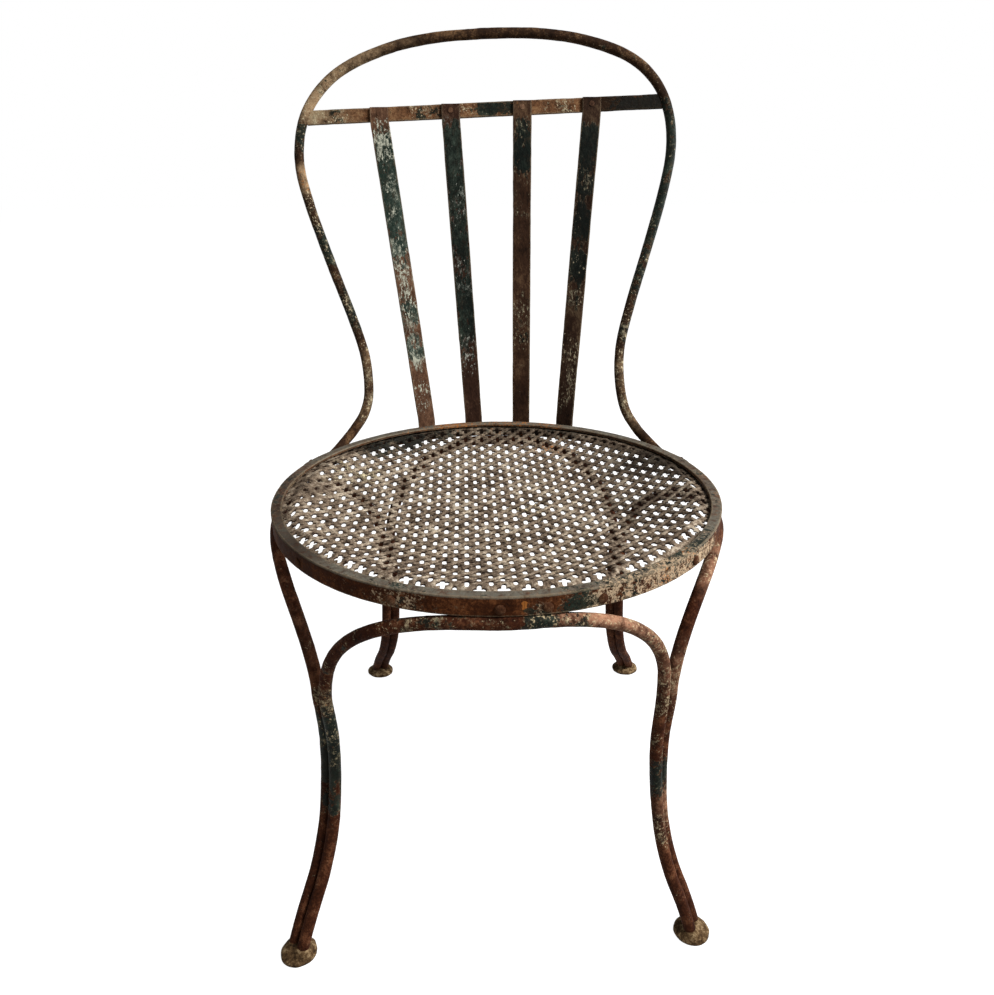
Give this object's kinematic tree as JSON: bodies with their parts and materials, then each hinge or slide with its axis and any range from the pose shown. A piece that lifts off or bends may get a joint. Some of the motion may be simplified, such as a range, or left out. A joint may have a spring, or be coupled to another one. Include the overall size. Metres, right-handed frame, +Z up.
{
  "type": "garden chair",
  "caption": "Rusted iron garden chair with a round dished perforated seat, hooped back with flat slats, and arched rod legs.",
  "frame": {"origin": "middle of the box's lower face, on the floor under the chair", "axes": "+Z up, the front of the chair looks along -Y, +X is the right side seen from the front"},
  "size_m": [0.454, 0.507, 0.8468],
  "materials": {
    "band_rust": "rusted flat bar with remnants of green and cream paint",
    "dark_rust": "dark rust",
    "sheet_rust": "taupe-brown rusted perforated sheet",
    "hoop_rust": "bronze-brown rusted rod with green tints",
    "rail_rust": "brown rusted flat bar with paint patches",
    "slat_paint": "worn dark green paint over rust",
    "leg_rust": "dark reddish-brown rust with green and cream paint flakes",
    "foot_rust": "olive-brown weathered iron",
    "rivet_rust": "rusted rivet"
  },
  "bodies": {
    "root": {"back_hoop": "hoop_rust", "back_rail": "rail_rust", "back_slat_1": "slat_paint", "back_slat_2": "slat_paint", "back_slat_3": "slat_paint", "back_slat_4": "slat_paint", "foot_front_left": "foot_rust", "foot_front_right": "foot_rust", "foot_rear_left": "foot_rust", "foot_rear_right": "foot_rust", "front_arch": "leg_rust", "hoop_rivet_left": "rivet_rust", "hoop_rivet_right": "rivet_rust", "left_arch": "leg_rust", "rear_arch": "leg_rust", "right_arch": "leg_rust", "seat_ring": "band_rust", "seat_rivet_left_140": "rivet_rust", "seat_rivet_left_22": "rivet_rust", "seat_rivet_left_50": "rivet_rust", "seat_rivet_left_90": "rivet_rust", "seat_rivet_right_140": "rivet_rust", "seat_rivet_right_22": "rivet_rust", "seat_rivet_right_50": "rivet_rust", "seat_rivet_right_90": "rivet_rust", "seat_sheet": "sheet_rust", "slat_foot_rivet_1": "rivet_rust", "slat_foot_rivet_2": "rivet_rust", "slat_foot_rivet_3": "rivet_rust", "slat_foot_rivet_4": "rivet_rust", "slat_head_rivet_1": "rivet_rust", "slat_head_rivet_2": "rivet_rust", "slat_head_rivet_3": "rivet_rust", "slat_head_rivet_4": "rivet_rust", "splice_plate": "dark_rust", "splice_rivet_left": "rivet_rust", "splice_rivet_right": "rivet_rust"}
  },
  "joints": []
}
